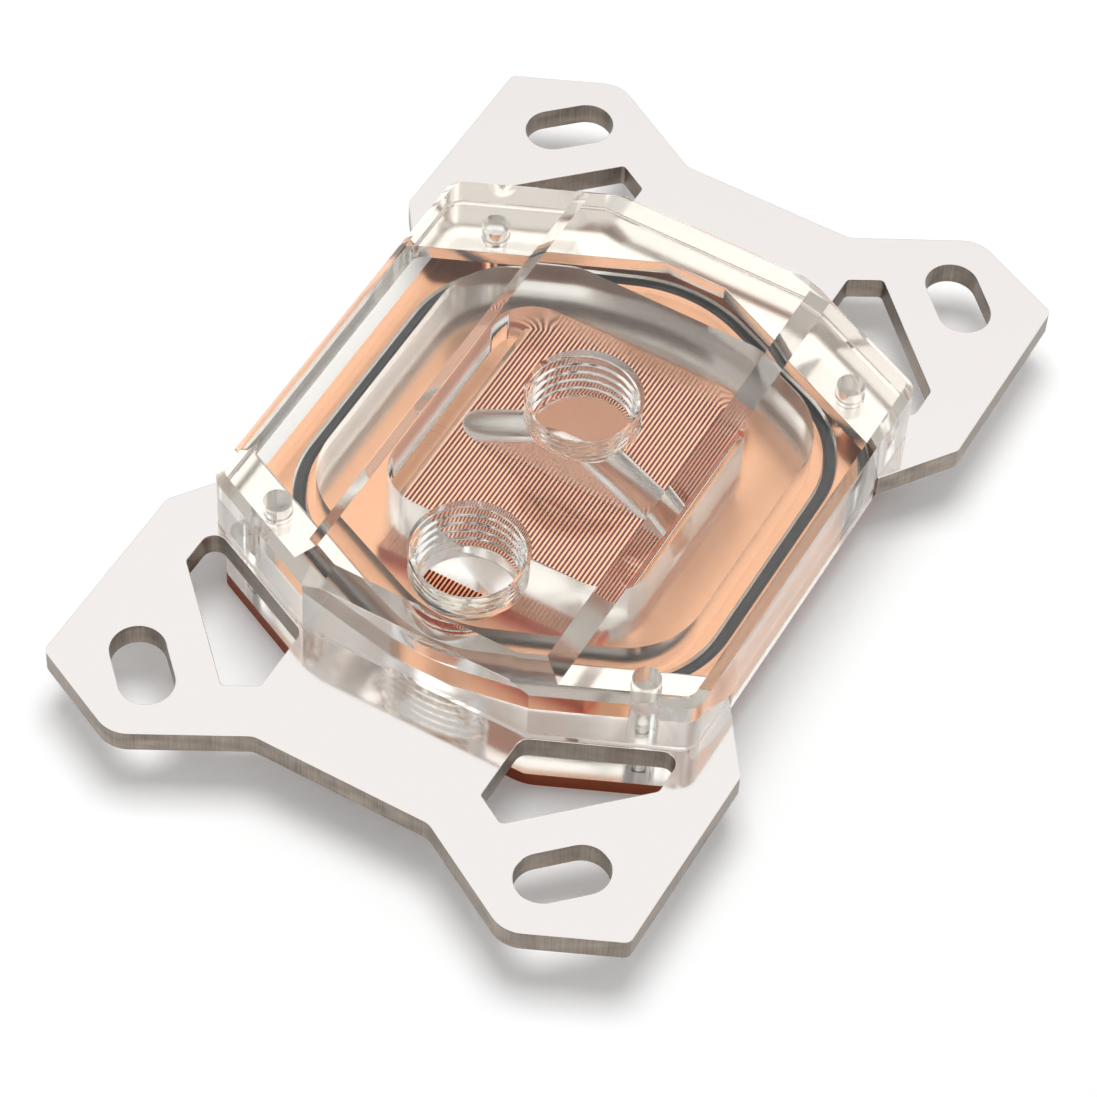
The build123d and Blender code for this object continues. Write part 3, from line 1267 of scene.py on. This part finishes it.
def light_room(stage):
    """A room that gives soft light, is white behind the block and is mirrored as a pale grey."""
    world = bpy.data.worlds.new("room")
    world.use_nodes = True
    tree = world.node_tree
    tree.nodes.clear()
    height = clamped(axes(add_node(tree, "ShaderNodeTexCoord", output="Generated"))[2])
    light = stage.room_light_low + height * (stage.room_light - stage.room_light_low)
    straight = seen_rays(tree, ("Is Camera Ray",))
    look = clamped(stage.background_low + height * stage.background_rise + straight)
    strength = light + seen_rays(tree) * (look - light)
    background = add_node(
        tree, "ShaderNodeBackground", values={"Color": opaque(WHITE), "Strength": strength}
    )
    add_node(tree, "ShaderNodeOutputWorld", values={"Surface": background})
    bpy.context.scene.world = world


def place_camera(stage):
    """The camera at the photograph's viewing angle."""
    view = bpy.data.cameras.new("camera")
    view.lens = stage.focal_length
    view.sensor_width = 36.0
    view.clip_start = 0.01
    camera = link("camera", view)
    camera.location = stage.camera_place
    camera.rotation_euler = stage.camera_turn
    bpy.context.scene.camera = camera


class WATERBLOCK_OT_stage(bpy.types.Operator):
    """Set up the floor, the lights and the camera"""

    bl_idname = "water_block.stage"
    bl_label = "Stage"

    def execute(self, context):
        stage = context.scene.water_block_stage
        lay_floor(stage)
        hang_lamps(stage)
        light_room(stage)
        place_camera(stage)
        context.scene.view_settings.view_transform = "Standard"
        context.scene.cycles.max_bounces = stage.light_turns
        context.scene.cycles.glossy_bounces = stage.light_turns
        context.scene.cycles.transmission_bounces = stage.light_turns
        return {"FINISHED"}


# Panel and registration


class WATERBLOCK_PT_sidebar(bpy.types.Panel):
    """Sidebar panel with the steps of the water block"""

    bl_label = "Water Block"
    bl_idname = "WATERBLOCK_PT_sidebar"
    bl_space_type = "VIEW_3D"
    bl_region_type = "UI"
    bl_category = "Water Block"

    def draw(self, context):
        for step in STEPS:
            self.layout.operator(step.bl_idname)


STEPS = (
    WATERBLOCK_OT_stage,
    WATERBLOCK_OT_clear_block,
    WATERBLOCK_OT_cold_plate,
    WATERBLOCK_OT_bracket,
    WATERBLOCK_OT_seal,
    WATERBLOCK_OT_screws,
)
GROUPS = {
    "water_block_sizes": BlockSizes,
    "water_block_hardware": HardwareSizes,
    "water_block_finishes": Finishes,
    "water_block_stage": StageSettings,
}


def register():
    """Registers the groups of sizes, the steps and the panel."""
    for name, group in GROUPS.items():
        bpy.utils.register_class(group)
        setattr(bpy.types.Scene, name, bpy.props.PointerProperty(type=group))
    for step in STEPS:
        bpy.utils.register_class(step)
    bpy.utils.register_class(WATERBLOCK_PT_sidebar)


def unregister():
    """Takes everything out again."""
    bpy.utils.unregister_class(WATERBLOCK_PT_sidebar)
    for step in reversed(STEPS):
        bpy.utils.unregister_class(step)
    for name, group in GROUPS.items():
        delattr(bpy.types.Scene, name)
        bpy.utils.unregister_class(group)


def main():
    """Builds the whole scene."""
    register()
    bpy.ops.water_block.stage()
    bpy.ops.water_block.clear_block()
    bpy.ops.water_block.cold_plate()
    bpy.ops.water_block.bracket()
    bpy.ops.water_block.seal()
    bpy.ops.water_block.screws()


if __name__ == "__main__":
    main()
